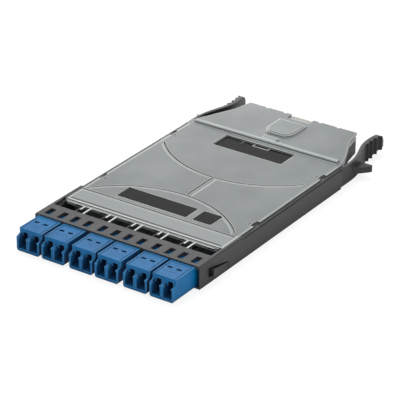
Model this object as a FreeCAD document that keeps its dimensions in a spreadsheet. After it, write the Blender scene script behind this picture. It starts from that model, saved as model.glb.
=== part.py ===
import FreeCAD, Part
import Sketcher
import math
import os
import re
from FreeCAD import Vector

# A fibre cassette: a flat tray with six duplex LC adapters in its front bezel, a clear
# cover, two sprung release arms at the rear and two sprung latch tongues at the front.
# X runs to the right, Y to the rear from the bezel's front face, Z up from the underside.

doc = FreeCAD.newDocument("FibreCassette")
sheet = doc.addObject("Spreadsheet::Sheet", "Sizes")

# Driving dimensions in millimetres, and degrees where the name ends in angle
SIZES = [
    ("overall_width", 91.0, "over the outer faces of the two rails"),
    ("body_length", 157.5, "bezel face to the rear face of the body"),
    ("bezel_height", 11.3, "underside to the top of the bezel deck"),
    ("rail_height", 10.4, "underside to the rail's top behind the bezel section"),
    ("rail_ledge_height", 9.5, "underside to the small outer ledge along the rail"),
    ("rail_ledge_depth", 0.6, "how far that ledge is set in"),
    ("rail_wall", 1.6, "thickness of the rail beside the cover"),
    ("rail_bevel", 0.7, "slope along the rail's outer top edge beside the bezel"),
    ("rear_section", 38.0, "length of the narrowed rear, from where the rails stop"),
    ("tall_rail_end", 34.0, "where the rail's top steps down"),
    ("floor_thickness", 1.2, "tray floor"),
    ("rear_wall", 1.6, "tray's rear wall and its narrowed sides"),
    ("seat_width", 1.2, "shelf inside the rail that the cover rests on"),
    ("shoulder_start", 3.8, "where the sides begin to narrow, behind the rails"),
    ("shoulder_end", 27.3, "where the narrowing ends, behind the rails"),
    ("waist_half_width", 33.3, "half width at the end of the narrowing"),
    ("rear_half_width", 31.3, "half width at the rear face"),
    ("shoulder_radius", 16.0, "outer bend of the narrowing"),
    ("waist_radius", 16.0, "inner bend of the narrowing"),
    ("wall_setback", 0.4, "tray wall set in from the cover's edge at the rear"),
    ("retainer_front", 18.2, "bezel face to the posts behind the adapters"),
    ("retainer_thickness", 1.2, "those posts"),
    ("boot_clearance", 0.5, "hole in a post round the plug's boot"),
    ("deck_length", 11.5, "bezel deck, front to rear"),
    ("deck_thickness", 1.8, "bezel deck over the adapters"),
    ("end_recess_wall", 0.5, "rail left beside the recess in the bezel's end face"),
    ("end_recess_depth", 4.5, "that recess, from the bezel face"),
    ("end_recess_floor", 0.8, "underside to the recess"),
    ("deck_slot_width", 3.1, "small slot over each port"),
    ("deck_slot_start", 1.85, "bezel face to the slot"),
    ("deck_slot_end", 7.75, "bezel face to the slot's far end"),
    ("deck_slot_half_pitch", 3.65, "slot centre from its adapter's centre"),
    ("bar_share", 0.485, "pitch of the window bars as a share of the pairs' pitch"),
    ("window_bar_width", 5.4, "deck bar between two windows"),
    ("cover_thickness", 1.3, "clear cover plate"),
    ("cover_height", 11.2, "underside to the cover's top"),
    ("cover_clearance", 0.1, "gap between cover and tray at the sides"),
    ("skirt_depth", 2.0, "cover's skirt behind the rails, below its plate"),
    ("skirt_thickness", 1.2, "that skirt"),
    ("skirt_inset", 0.4, "upper part of the skirt set in from the plate's edge"),
    ("skirt_lip", 0.6, "lip along the skirt's foot"),
    ("cover_front", 17.75, "bezel face to the cover's front edge"),
    ("front_rim", 0.5, "rim along the cover's front edge"),
    ("front_line_width", 0.6, "two grooves behind that rim"),
    ("front_line_pitch", 1.25, "between the two grooves"),
    ("front_line_depth", 0.5, "depth of the two grooves"),
    ("cover_corner", 2.6, "cut across the cover's front corners"),
    ("groove_width", 0.8, "lines in the cover's top"),
    ("groove_depth", 0.4, "lines in the cover's top"),
    ("strip_line", 32.3, "straight line across the cover"),
    ("arc_radius", 53.3, "the two curved lines in the cover"),
    ("front_arc_centre", 0.4, "centre of the front curved line"),
    ("rear_arc_centre", 10.3, "centre of the rear curved line, behind the rails' end"),
    ("arc_angle", 98.0, "sweep of each curved line"),
    ("link_line_x", 1.0, "short line that joins the curved ones"),
    ("field_depth", 0.25, "smooth fields sunk in the cover"),
    ("field_front", 35.3, "their front edge"),
    ("field_rear", 45.6, "their rear edge"),
    ("long_field_left", 25.4, "wide field, left of the middle"),
    ("long_field_right", 13.5, "wide field, right of the middle"),
    ("square_field_left", 16.9, "square field's left edge"),
    ("square_field_right", 27.2, "square field's right edge"),
    ("square_field_corner", 1.2, "its rounded corners"),
    ("window_half_width", 19.6, "deep rectangular window in the cover"),
    ("window_front", 13.3, "its front edge, ahead of the rails' end"),
    ("window_rear", 0.6, "its rear edge, ahead of the rails' end"),
    ("window_pane", 0.5, "thin pane left at the window's bottom"),
    ("bead_line", 4.1, "rounded bead across the cover, behind the rails"),
    ("bead_half_length", 41.0, "half length of the bead"),
    ("bead_width", 3.3, "foot of the bead"),
    ("bead_height", 1.0, "height of the bead"),
    ("bead_pad_left", 3.6, "pad behind the bead, left of the middle"),
    ("bead_pad_right", 4.4, "pad behind the bead, right of the middle"),
    ("bead_pad_length", 3.2, "pad behind the bead"),
    ("finger_x", 9.2, "thin finger over the window, left of the middle"),
    ("finger_width", 0.6, "that finger"),
    ("finger_reach", 3.8, "how far the finger stands over the window"),
    ("clip_left", 3.4, "clip in the window, left of the middle"),
    ("clip_right", 5.6, "clip in the window, right of the middle"),
    ("clip_reach", 2.4, "how far the clip stands into the window"),
    ("clip_bar", 0.6, "bars of the clip"),
    ("clip_drop", 0.6, "clip and finger below the cover's top"),
    ("hood_half_width", 7.9, "raised hood over the rear connector"),
    ("hood_front", 25.4, "its front edge, ahead of the rear face"),
    ("hood_rear", 8.9, "its rear edge, ahead of the rear face"),
    ("hood_height", 1.3, "how far the hood is raised"),
    ("notch_clearance", 0.25, "notch in the cover beside the rear adapter"),
    ("notch_front", 4.9, "its front edge, ahead of the rear face"),
    ("tooth_width", 4.6, "snap tooth on the cover's front edge"),
    ("tooth_prong", 0.9, "each of the tooth's two prongs"),
    ("tooth_foot", 0.35, "how far the tooth's web lies below the cover's top"),
    ("side_snap_front", 48.2, "front pair of snaps along the cover's sides"),
    ("side_snap_rear", 13.7, "rear pair of snaps, ahead of the rails' end"),
    ("side_snap_length", 5.2, "notch in the cover at a snap"),
    ("side_snap_depth", 1.9, "notch in the cover at a snap"),
    ("snap_hook_length", 2.6, "hook of the tray in that notch"),
    ("snap_hook_depth", 1.1, "how far the hook stands in from the rail"),
    ("edge_nick_width", 1.6, "small nicks in the cover's rear edge"),
    ("edge_nick_pitch", 10.3, "between those nicks"),
    ("adapter_width", 12.7, "duplex adapter"),
    ("adapter_top", 10.6, "underside to the adapter's top"),
    ("adapter_step", 1.2, "adapter lower inside the bezel than ahead of it"),
    ("adapter_bottom", 0.1, "underside to the adapter's bottom"),
    ("adapter_gap", 0.1, "clearance of an adapter in its bay"),
    ("adapter_front", 16.8, "adapter ahead of the bezel face"),
    ("adapter_lip", 14.2, "adapter's top deck ahead of the bezel face"),
    ("adapter_rear", 11.3, "adapter behind the bezel face"),
    ("adapter_corner", 1.1, "rounded lower corners of the adapter"),
    ("pair_half_pitch", 7.1, "adapter from the middle of its pair"),
    ("bezel_end_wall", 2.25, "bezel's end wall outside the outer adapters"),
    ("port_pitch", 6.25, "between the two ports of an adapter"),
    ("port_width", 4.7, "port of an adapter"),
    ("port_bottom", 1.4, "underside to the port's floor"),
    ("port_top", 6.9, "underside to the port's roof"),
    ("divider_cap_width", 2.1, "head of the rib between the two ports"),
    ("divider_cap_height", 0.75, "head of that rib"),
    ("wall_cap_width", 0.4, "small ledge inside the adapter's side walls"),
    ("deck_margin", 1.3, "panel on the adapter's deck, in from its sides"),
    ("deck_groove", 0.5, "groove round that panel"),
    ("deck_rim", 0.6, "rim behind the panel's rear groove"),
    ("deck_pocket_pitch", 4.8, "two small pockets in the panel"),
    ("deck_pocket_shift", 0.4, "their middle, left of the adapter's"),
    ("deck_pocket_width", 2.6, "each pocket"),
    ("deck_pocket_front", 6.9, "pocket ahead of the bezel face"),
    ("deck_pocket_rear", 5.3, "pocket ahead of the bezel face"),
    ("latch_slot_width", 2.7, "slot over the port for the plug's latch"),
    ("latch_slot_top", 8.7, "top of that slot"),
    ("web_position", 3.6, "adapter's middle web ahead of the bezel face"),
    ("web_thickness", 2.0, "adapter's middle web"),
    ("barrel_diameter", 3.0, "alignment barrel in a port"),
    ("barrel_length", 9.4, "alignment barrel"),
    ("sleeve_diameter", 1.62, "split sleeve, outside"),
    ("sleeve_bore", 1.26, "split sleeve, inside"),
    ("sleeve_length", 8.6, "split sleeve"),
    ("sleeve_clearance", 0.05, "sleeve in its barrel"),
    ("sleeve_slit", 0.3, "slit along the sleeve"),
    ("connector_width", 4.4, "body of a rear connector"),
    ("connector_length", 13.0, "body of a rear connector"),
    ("connector_gap", 0.15, "its nose behind the barrel"),
    ("boot_diameter", 2.8, "strain relief at the connector"),
    ("boot_tip_diameter", 1.7, "strain relief at the fibre"),
    ("boot_length", 9.0, "strain relief"),
    ("leg_diameter", 0.9, "single fibre tube"),
    ("trunk_diameter", 3.0, "ribbon tube to the rear connector"),
    ("fan_out_front", 92.0, "front face of the fan-out block"),
    ("fan_out_length", 11.0, "fan-out block"),
    ("fan_out_width", 13.4, "fan-out block"),
    ("fan_out_thickness", 5.6, "fan-out block"),
    ("leg_spacing", 0.95, "fibre tubes at the fan-out block"),
    ("spool_x", 27.0, "radius guide from the middle"),
    ("spool_y", 74.0, "radius guide from the bezel face"),
    ("spool_radius", 11.0, "radius guide"),
    ("spool_height", 6.5, "radius guide's rim above the underside"),
    ("mpo_width", 12.4, "rear adapter"),
    ("mpo_top", 9.8, "underside to the rear adapter's top"),
    ("mpo_bottom", 1.3, "underside to the rear adapter's bottom"),
    ("mpo_front", 9.5, "rear adapter's inner end, ahead of the rear face"),
    ("mpo_rear", 0.9, "rear adapter's outer end, behind the rear face"),
    ("mpo_port_width", 9.8, "rear adapter's port"),
    ("mpo_port_height", 6.4, "rear adapter's port"),
    ("mpo_flange", 0.8, "rear adapter's flange inside the rear wall"),
    ("mpo_plug_length", 13.0, "rear connector's body"),
    ("mpo_plug_width", 11.4, "rear connector's body"),
    ("mpo_plug_height", 6.8, "rear connector's body"),
    ("mpo_boot_length", 8.0, "rear connector's strain relief"),
    ("arm_gap", 0.3, "running gap at the root of an arm or a latch"),
    ("arm_root_thickness", 1.0, "arm where it flexes"),
    ("arm_thickness", 2.0, "arm at the grip"),
    ("arm_bottom", 0.6, "underside to the arm's bottom"),
    ("arm_top", 10.2, "underside to the arm's top"),
    ("arm_inset", 0.2, "arm's outer face inside the rail's"),
    ("arm_bend", 15.5, "corner where the arm turns inward, behind the rails"),
    ("arm_grip", 34.0, "corner where the grip turns back out, behind the rails"),
    ("arm_end", 46.5, "tip of the arm, behind the rails"),
    ("arm_grip_inset", 6.2, "grip corner inside the rail's face"),
    ("arm_end_inset", 3.9, "arm's tip inside the rail's face"),
    ("arm_bend_radius", 42.0, "first bend of the arm"),
    ("arm_grip_radius", 32.0, "second bend of the arm"),
    ("arm_tip_radius", 4.2, "upper corner of the tip"),
    ("arm_heel_length", 10.0, "rising lower edge at the arm's tip"),
    ("arm_heel_rise", 2.6, "how far that edge rises"),
    ("rib_pitch", 3.8, "ribs of the grip"),
    ("rib_depth", 1.8, "ribs of the grip"),
    ("rib_start", 31.6, "foot of the first rib, behind the rails"),
    ("lug_reach", 5.4, "locking lug beyond the rail's face"),
    ("lug_front", 12.5, "where the lug leaves the arm, behind the rails"),
    ("lug_rear", 19.9, "rear face of the lug, behind the rails"),
    ("lug_bottom", 2.8, "underside to the lug"),
    ("lug_top", 6.2, "underside to the lug's top"),
    ("latch_root", 22.9, "root of the front latch tongue"),
    ("latch_tip", 8.2, "free end of the front latch tongue"),
    ("latch_spring_out", 2.0, "how far its tip stands out"),
    ("latch_thickness", 1.1, "front latch tongue"),
    ("latch_tip_bottom", 3.3, "underside to the tongue's tip"),
    ("latch_tip_height", 3.9, "height of its free end"),
    ("latch_root_bottom", 1.1, "underside to the tongue's root"),
    ("latch_root_height", 2.7, "height of its root"),
    ("latch_pocket_depth", 1.8, "recess in the rail behind the tongue"),
    ("latch_clearance", 0.35, "tongue in that recess"),
    ("latch_pocket_reach", 1.4, "recess beyond the tongue's tip"),
]


# Places along the part that are measured from the rails' end or from the rear face
PLACES = {
    "RAIL_END": "(body_length - rear_section)",
    "SHOULDER_START": "(body_length - rear_section + shoulder_start)",
    "SHOULDER_END": "(body_length - rear_section + shoulder_end)",
    "REAR_ARC_CENTRE": "(body_length - rear_section + rear_arc_centre)",
    "BEAD_LINE": "(body_length - rear_section + bead_line)",
    "ARM_BEND": "(body_length - rear_section + arm_bend)",
    "ARM_GRIP": "(body_length - rear_section + arm_grip)",
    "ARM_END": "(body_length - rear_section + arm_end)",
    "RIB_START": "(body_length - rear_section + rib_start)",
    "LUG_FRONT": "(body_length - rear_section + lug_front)",
    "LUG_REAR": "(body_length - rear_section + lug_rear)",
    "WINDOW_FRONT": "(body_length - rear_section - window_front)",
    "WINDOW_REAR": "(body_length - rear_section - window_rear)",
    "SIDE_SNAP_REAR": "(body_length - rear_section - side_snap_rear)",
    "HOOD_FRONT": "(body_length - hood_front)",
    "HOOD_REAR": "(body_length - hood_rear)",
    "NOTCH_FRONT": "(body_length - notch_front)",
    "MPO_FRONT": "(body_length - mpo_front)",
    "MPO_REAR": "(body_length + mpo_rear)",
    "GROUP_PITCH": "(overall_width / 2 - bezel_end_wall - adapter_gap"
                   " - adapter_width / 2 - pair_half_pitch)",
    "WINDOW_PITCH": "(bar_share * (overall_width / 2 - bezel_end_wall - adapter_gap"
                    " - adapter_width / 2 - pair_half_pitch))",
}


def fill_sheet():
    for row, (name, number, note) in enumerate(SIZES, start=1):
        sheet.set("A%d" % row, note)
        sheet.set("B%d" % row, str(number))
        sheet.setAlias("B%d" % row, name)
    doc.recompute()


def bound(formula):
    """A formula with its places written out and each size turned into a sheet reference."""
    formula = re.sub(r"[A-Z]+(?:_[A-Z]+)+", lambda match: PLACES[match.group()], formula)
    return re.sub(r"[a-z]+(?:_[a-z]+)+", lambda match: "Sizes." + match.group(), formula)


def value(formula):
    """The present value of a formula of size names."""
    return float(sheet.evalExpression(bound(formula)))


def origin_plane(body, plane):
    role = plane + "_Plane"
    return next(item for item in body.Origin.OriginFeatures if item.Role == role)


def pin_point(sketch, geometry, point, x, y):
    """Ties one sketch point to formulas for its two coordinates."""
    for kind, formula in (("DistanceX", x), ("DistanceY", y)):
        distance = value(formula)
        if distance < 0:
            ends, formula, distance = (geometry, point, -1, 1), "-(%s)" % formula, -distance
        else:
            ends = (-1, 1, geometry, point)
        index = sketch.addConstraint(Sketcher.Constraint(kind, *ends, distance))
        sketch.setExpression("Constraints[%d]" % index, bound(formula))


def pin_radius(sketch, geometry, formula):
    index = sketch.addConstraint(Sketcher.Constraint("Radius", geometry, value(formula)))
    sketch.setExpression("Constraints[%d]" % index, bound(formula))


def draw_loop(sketch, points):
    """A closed loop of straight sides; a third formula in a point rounds that corner."""
    corners = [Vector(value(point[0]), value(point[1]), 0) for point in points]
    following = corners[1:] + corners[:1]
    sides = [sketch.addGeometry(Part.LineSegment(start, end), False)
             for start, end in zip(corners, following)]
    for side, next_side in zip(sides, sides[1:] + sides[:1]):
        sketch.addConstraint(Sketcher.Constraint("Coincident", side, 2, next_side, 1))
    for side, point in zip(sides, points):
        pin_point(sketch, side, 1, point[0], point[1])
    for side, point in zip(sides, points):
        if len(point) == 3:
            arc = sketch.GeometryCount
            sketch.fillet(side, 1, value(point[2]), True, True)
            pin_radius(sketch, arc, point[2])


def draw_circle(sketch, x, y, radius):
    circle = sketch.addGeometry(Part.Circle(Vector(value(x), value(y), 0), Vector(0, 0, 1),
                                            value(radius)), False)
    pin_point(sketch, circle, 3, x, y)
    pin_radius(sketch, circle, radius)


def new_sketch(body, plane, level, loops=(), circles=()):
    sketch = body.newObject("Sketcher::SketchObject", "Sketch")
    sketch.AttachmentSupport = (origin_plane(body, plane), [""])
    sketch.MapMode = "FlatFace"
    sketch.setExpression("AttachmentOffset.Base.z", bound(level))
    for points in loops:
        draw_loop(sketch, points)
    for circle in circles:
        draw_circle(sketch, *circle)
    return sketch


def extrude(body, kind, plane, low, high, loops=(), circles=()):
    """Adds or cuts a prism that runs from low to high along the plane's own axis."""
    level = "-(%s)" % high if plane == "XZ" else low
    feature_profile = new_sketch(body, plane, level, loops, circles)
    feature = body.newObject("PartDesign::" + kind, kind)
    feature.Profile = feature_profile
    feature.setExpression("Length", bound("(%s) - (%s)" % (high, low)))
    feature.Reversed = kind == "Pocket"
    return feature


def add(body, plane, low, high, *loops, circles=()):
    return extrude(body, "Pad", plane, low, high, loops, circles)


def cut(body, plane, low, high, *loops, circles=()):
    return extrude(body, "Pocket", plane, low, high, loops, circles)


def rectangle(x_low, x_high, y_low, y_high):
    return [(x_low, y_low), (x_high, y_low), (x_high, y_high), (x_low, y_high)]


def mirrored_outline(points):
    """A loop from its right half, listed front to rear."""
    left = [("-(%s)" % point[0],) + tuple(point[1:]) for point in reversed(points)]
    return list(points) + left


def new_body(name):
    body = doc.addObject("PartDesign::Body", name)
    body.Label = name
    return body


def finish(item, name):
    item.Label = name
    subparts.append(item)
    return item


HALF = "overall_width / 2"
COVER_EDGE = "overall_width / 2 - rail_wall - cover_clearance"
COVER_BOTTOM = "cover_height - cover_thickness"
SKIRT_FOOT = "cover_height - cover_thickness - skirt_depth"
PORT_OFFSETS = ("-port_pitch / 2", "port_pitch / 2")
PORT_AXIS = "(port_bottom + port_top) / 2"
subparts = []


def adapter_centres():
    """Formulas for the six adapters' places across the bezel, left to right."""
    return ["GROUP_PITCH * (%d) + pair_half_pitch * (%d)" % (group, side)
            for group in (-1, 0, 1) for side in (-1, 1)]


def bar_centres():
    return ["WINDOW_PITCH * (%d)" % step for step in range(-2, 3)]


def narrowed_side(inset):
    """Right side behind the rails, set in from the cover's edge."""
    return [("%s - (%s)" % (COVER_EDGE, inset), "SHOULDER_START", "shoulder_radius"),
            ("waist_half_width - (%s)" % inset, "SHOULDER_END", "waist_radius"),
            ("rear_half_width - (%s)" % inset, "body_length")]


def cut_adapter_bays(tray):
    bay = "(adapter_width / 2 + adapter_gap)"
    bays = [rectangle("%s - %s" % (centre, bay), "%s + %s" % (centre, bay), "-1", "deck_length")
            for centre in adapter_centres()]
    cut(tray, "XY", "-1", "bezel_height - deck_thickness", *bays)
    recesses = []
    for side in ("-", ""):
        recesses.append(rectangle("%s(%s - bezel_end_wall - 0.1)" % (side, HALF),
                                  "%s(%s - end_recess_wall)" % (side, HALF),
                                  "-1", "end_recess_depth"))
    cut(tray, "XY", "end_recess_floor", "bezel_height - deck_thickness", *recesses)


def cut_deck_slots(tray):
    slots = []
    for centre in adapter_centres():
        for side in ("-", "+"):
            middle = "%s %s deck_slot_half_pitch" % (centre, side)
            slots.append(rectangle("%s - deck_slot_width / 2" % middle,
                                   "%s + deck_slot_width / 2" % middle,
                                   "deck_slot_start", "deck_slot_end"))
    cut(tray, "XY", "bezel_height - deck_thickness - 0.5", "bezel_height + 1", *slots)


def cut_cavity(tray):
    """The hollow that the fibres lie in, up to the seat of the cover."""
    wall = "%s - rail_wall - seat_width" % HALF
    rear = "body_length - rear_wall"
    side = [(wall, "deck_length"),
            (wall, "SHOULDER_START - rear_wall * 1.5"),
            ("waist_half_width - wall_setback - rear_wall", "SHOULDER_END"),
            ("rear_half_width - wall_setback - rear_wall", rear)]
    cut(tray, "XY", "floor_thickness", COVER_BOTTOM, mirrored_outline(side))


def cut_cover_seat(tray):
    side = [("%s - rail_wall" % HALF, "cover_front - cover_clearance"),
            ("%s - rail_wall" % HALF, "RAIL_END"),
            ("%s + 1" % HALF, "RAIL_END"),
            ("%s + 1" % HALF, "body_length + 1")]
    cut(tray, "XY", COVER_BOTTOM, "bezel_height + 1", mirrored_outline(side))
    cut(tray, "XY", SKIRT_FOOT, COVER_BOTTOM + " + 0.5",
        rectangle("-(%s + 1)" % HALF, "%s + 1" % HALF, "RAIL_END", "body_length + 1"))


def cut_windows(tray):
    """Six windows in the deck over the rear connectors, with bars between them."""
    edges = ["-(%s - rail_wall - 0.3)" % HALF]
    for centre in bar_centres():
        edges.append("%s - window_bar_width / 2" % centre)
        edges.append("%s + window_bar_width / 2" % centre)
    edges.append("%s - rail_wall - 0.3" % HALF)
    windows = [rectangle(edges[2 * n], edges[2 * n + 1], "deck_length", "cover_front")
               for n in range(6)]
    cut(tray, "XY", COVER_BOTTOM + " - 0.5", "bezel_height + 1", *windows)
    seats = [rectangle("%s - tooth_width / 2" % centre, "%s + window_bar_width / 2 + 0.1" % centre,
                       "deck_length", "cover_front") for centre in bar_centres()]
    cut(tray, "XY", COVER_BOTTOM + " - 0.6", "bezel_height + 1", *seats)


def shape_rails(tray):
    for side in ("-", ""):
        outer = "%s(%s + 1)" % (side, HALF)
        inner = "%s(%s - rail_wall)" % (side, HALF)
        ledge = "%s(%s - rail_ledge_depth)" % (side, HALF)
        cut(tray, "XY", "rail_height", "bezel_height + 1",
            rectangle(inner, outer, "tall_rail_end", "RAIL_END + 1"))
        cut(tray, "XY", "rail_ledge_height", "rail_height + 0.5",
            rectangle(ledge, outer, "tall_rail_end", "RAIL_END + 1"))
        bevel = [("%s(%s - rail_bevel)" % (side, HALF), "bezel_height + 0.1"),
                 (outer, "bezel_height + 0.1"),
                 (outer, "bezel_height - rail_bevel - 1"),
                 ("%s%s" % (side, HALF.join("()")), "bezel_height - rail_bevel")]
        cut(tray, "XZ", "-1", "tall_rail_end", bevel)


def slanted_outline(front, reach_below, reach_above):
    """Side view of the slanted latch tongue, or of the recess it moves in."""
    top = "latch_root_bottom + latch_root_height + (%s)" % reach_above
    return [(front, "latch_tip_bottom - (%s)" % reach_below),
            ("latch_root", "latch_root_bottom - (%s)" % reach_below),
            ("latch_root", top),
            (front, "latch_tip_bottom + latch_tip_height + (%s) * 0.8" % reach_above)]


def cut_latch_pockets(tray):
    opening = slanted_outline("latch_tip - latch_pocket_reach", "latch_clearance * 0.8",
                              "latch_clearance * 1.6")
    cut(tray, "YZ", "%s - latch_pocket_depth" % HALF, "%s + 1" % HALF, opening)
    cut(tray, "YZ", "-(%s + 1)" % HALF, "-(%s - latch_pocket_depth)" % HALF, opening)


def add_retainers(tray):
    """Posts behind each adapter that keep it in its bay, with a hole for the boot."""
    posts, holes = [], []
    for centre in adapter_centres():
        posts.append(rectangle(centre, "%s + adapter_width / 2 - adapter_gap" % centre,
                               "retainer_front", "retainer_front + retainer_thickness"))
        holes.append(("%s + port_pitch / 2" % centre, PORT_AXIS,
                      "boot_diameter / 2 + boot_clearance"))
    add(tray, "XY", "floor_thickness - 0.2", COVER_BOTTOM, *posts)
    cut(tray, "XZ", "retainer_front - 1", "retainer_front + retainer_thickness + 1",
        circles=holes)


def add_snap_hooks(tray):
    """Small hooks on the rails that stand in the cover's side notches."""
    for side in ("-", ""):
        wall = "%s(%s - rail_wall + 0.2)" % (side, HALF)
        nose = "%s(%s - rail_wall - snap_hook_depth)" % (side, HALF)
        hooks = [rectangle(nose, wall, "%s - snap_hook_length / 2" % place,
                           "%s + snap_hook_length / 2" % place)
                 for place in ("side_snap_front", "SIDE_SNAP_REAR")]
        add(tray, "XY", COVER_BOTTOM + " - 0.3", "rail_height", *hooks)


def add_radius_guides(tray):
    """Two low rings that keep fibre slack at a safe bend."""
    places = [("-spool_x", "spool_y"), ("spool_x", "spool_y")]
    add(tray, "XY", "floor_thickness - 0.2", "spool_height",
        circles=[place + ("spool_radius",) for place in places])
    cut(tray, "XY", "floor_thickness", "spool_height + 1",
        circles=[place + ("spool_radius - 1.2",) for place in places])


def cut_rear_port(tray):
    half = "mpo_width / 2 + adapter_gap"
    cut(tray, "XY", "mpo_bottom - adapter_gap", "bezel_height",
        rectangle("-(%s)" % half, half, "body_length - rear_wall - 1", "body_length + 1"))


def make_tray():
    tray = new_body("base_tray")
    side = [(HALF, "0"), (HALF, "RAIL_END"), (COVER_EDGE + " - wall_setback", "RAIL_END")]
    add(tray, "XY", "0", "bezel_height", mirrored_outline(side + narrowed_side("wall_setback")))
    cut_cover_seat(tray)
    cut_cavity(tray)
    cut_adapter_bays(tray)
    cut_deck_slots(tray)
    cut_windows(tray)
    shape_rails(tray)
    cut_latch_pockets(tray)
    add_retainers(tray)
    add_snap_hooks(tray)
    add_radius_guides(tray)
    cut_rear_port(tray)
    return finish(tray, "base_tray")


def add_cover_teeth(cover):
    """Five forked teeth that snap to the bars between the windows."""
    front = "deck_length + 0.15"
    webs, short_prongs, long_prongs = [], [], []
    for centre in bar_centres():
        left = "%s - tooth_width / 2 + 0.15" % centre
        right = "%s + tooth_width / 2" % centre
        webs.append(rectangle(left, right, "cover_front - 1.8", "cover_front + 0.5"))
        short_prongs.append(rectangle(left, left + " + tooth_prong",
                                      "cover_front - 3.4", "cover_front"))
        long_prongs.append(rectangle(right + " - tooth_prong", right, front,
                                     "cover_front + front_rim + front_line_pitch"))
    add(cover, "XY", COVER_BOTTOM, "cover_height - tooth_foot", *webs)
    add(cover, "XY", COVER_BOTTOM, "cover_height", *short_prongs)
    add(cover, "XY", COVER_BOTTOM, "cover_height", *long_prongs)


def cut_curved_line(cover, centre, direction):
    """A curved groove about a centre on the cover's middle line."""
    profile = rectangle("arc_radius * (%d) - groove_width / 2" % direction,
                        "arc_radius * (%d) + groove_width / 2" % direction,
                        "cover_height - groove_depth", "cover_height + 0.5")
    sketch = new_sketch(cover, "YZ", "0", [profile])
    sketch.setExpression("AttachmentOffset.Base.x", bound(centre))
    groove = cover.newObject("PartDesign::Groove", "Groove")
    groove.Profile = sketch
    groove.ReferenceAxis = (sketch, ["V_Axis"])
    groove.setExpression("Angle", bound("arc_angle"))
    groove.Midplane = True


def cut_cover_lines(cover):
    half = COVER_EDGE + " - 1.2"
    top = "cover_height + 0.5"
    line = rectangle("-(%s)" % half, half, "strip_line - groove_width / 2",
                     "strip_line + groove_width / 2")
    link = rectangle("link_line_x - groove_width / 2", "link_line_x + groove_width / 2",
                     "front_arc_centre + arc_radius + groove_width",
                     "REAR_ARC_CENTRE - arc_radius - groove_width")
    cut(cover, "XY", "cover_height - groove_depth", top, line, link)
    cut_curved_line(cover, "front_arc_centre", 1)
    cut_curved_line(cover, "REAR_ARC_CENTRE", -1)


def sink_fields(cover):
    """Two smooth fields near the front, left bare."""
    wide = rectangle("-long_field_left", "long_field_right", "field_front", "field_rear")
    square = [point + ("square_field_corner",) for point in
              rectangle("square_field_left", "square_field_right", "field_front", "field_rear")]
    cut(cover, "XY", "cover_height - field_depth", "cover_height + 0.5", wide, square)


def cut_side_snaps(cover):
    notches, slits = [], []
    for place in ("side_snap_front", "SIDE_SNAP_REAR"):
        low = "%s - side_snap_length / 2" % place
        high = "%s + side_snap_length / 2" % place
        for side in ("-", ""):
            edge = "%s(%s + 1)" % (side, COVER_EDGE)
            depth = "%s(%s - side_snap_depth)" % (side, COVER_EDGE)
            notches.append(rectangle(depth, edge, low, high))
            near = "%s(%s - side_snap_depth - 1)" % (side, COVER_EDGE)
            far = "%s(%s - side_snap_depth - 1.6)" % (side, COVER_EDGE)
            slits.append(rectangle(near, far, low, place))
    cut(cover, "XY", "0", "cover_height + 1", *notches)
    cut(cover, "XY", "0", "cover_height + 1", *slits)


def add_bead(cover):
    """A rounded bead across the cover, with a pad and a finger that meet it."""
    top = "cover_height + bead_height"
    profile = [("BEAD_LINE - bead_width / 2", "cover_height - 0.2"),
               ("BEAD_LINE + bead_width / 2", "cover_height - 0.2"),
               ("BEAD_LINE + bead_width / 2", "cover_height"),
               ("BEAD_LINE + bead_width * 0.3", top, "bead_height * 0.7"),
               ("BEAD_LINE - bead_width * 0.3", top, "bead_height * 0.7"),
               ("BEAD_LINE - bead_width / 2", "cover_height")]
    add(cover, "YZ", "-bead_half_length", "bead_half_length", profile)
    rear = "BEAD_LINE + bead_width / 2"
    add(cover, "XY", "cover_height - 0.2", "cover_height + bead_height * 0.8",
        rectangle("-bead_pad_left", "bead_pad_right", "%s - bead_width / 4" % rear,
                  "%s + bead_pad_length" % rear))
    add(cover, "XY", COVER_BOTTOM, "cover_height - clip_drop / 2",
        rectangle("-finger_x - finger_width / 2", "-finger_x + finger_width / 2",
                  "WINDOW_REAR - finger_reach", "WINDOW_REAR + 0.3"))


def add_window_clip(cover):
    """A forked clip that stands into the window from its rear edge."""
    front = "WINDOW_REAR - clip_reach"
    top = "cover_height - clip_drop"
    sides = [rectangle("-clip_left", "-clip_left + clip_bar", front, "WINDOW_REAR + 0.3"),
             rectangle("clip_right - clip_bar", "clip_right", front, "WINDOW_REAR + 0.3")]
    add(cover, "XY", COVER_BOTTOM, top, *sides)
    add(cover, "XY", COVER_BOTTOM, top,
        rectangle("-clip_left", "clip_right", front, front + " + clip_bar"))


def hood_outline(inset):
    half = "hood_half_width - (%s)" % inset
    return mirrored_outline([("hood_half_width * 0.62 - (%s) * 0.7" % inset,
                              "HOOD_FRONT + (%s)" % inset, "1.6"),
                             (half, "HOOD_FRONT + 4.3", "1.6"),
                             (half, "HOOD_REAR - (%s)" % inset)])


def add_hood(cover):
    add(cover, "XY", "cover_height - 0.2", "cover_height + hood_height * 0.5", hood_outline("0"))
    add(cover, "XY", "cover_height", "cover_height + hood_height", hood_outline("1.0"))


def skirt_outline(inset):
    """Outline of the skirt behind the rails, set in from the cover's edge."""
    side = narrowed_side(inset)
    rear = (side[-1][0], "body_length - (%s)" % inset)
    start = ("%s - (%s)" % (COVER_EDGE, inset), "RAIL_END + cover_clearance")
    return mirrored_outline([start] + side[:-1] + [rear])


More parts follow.
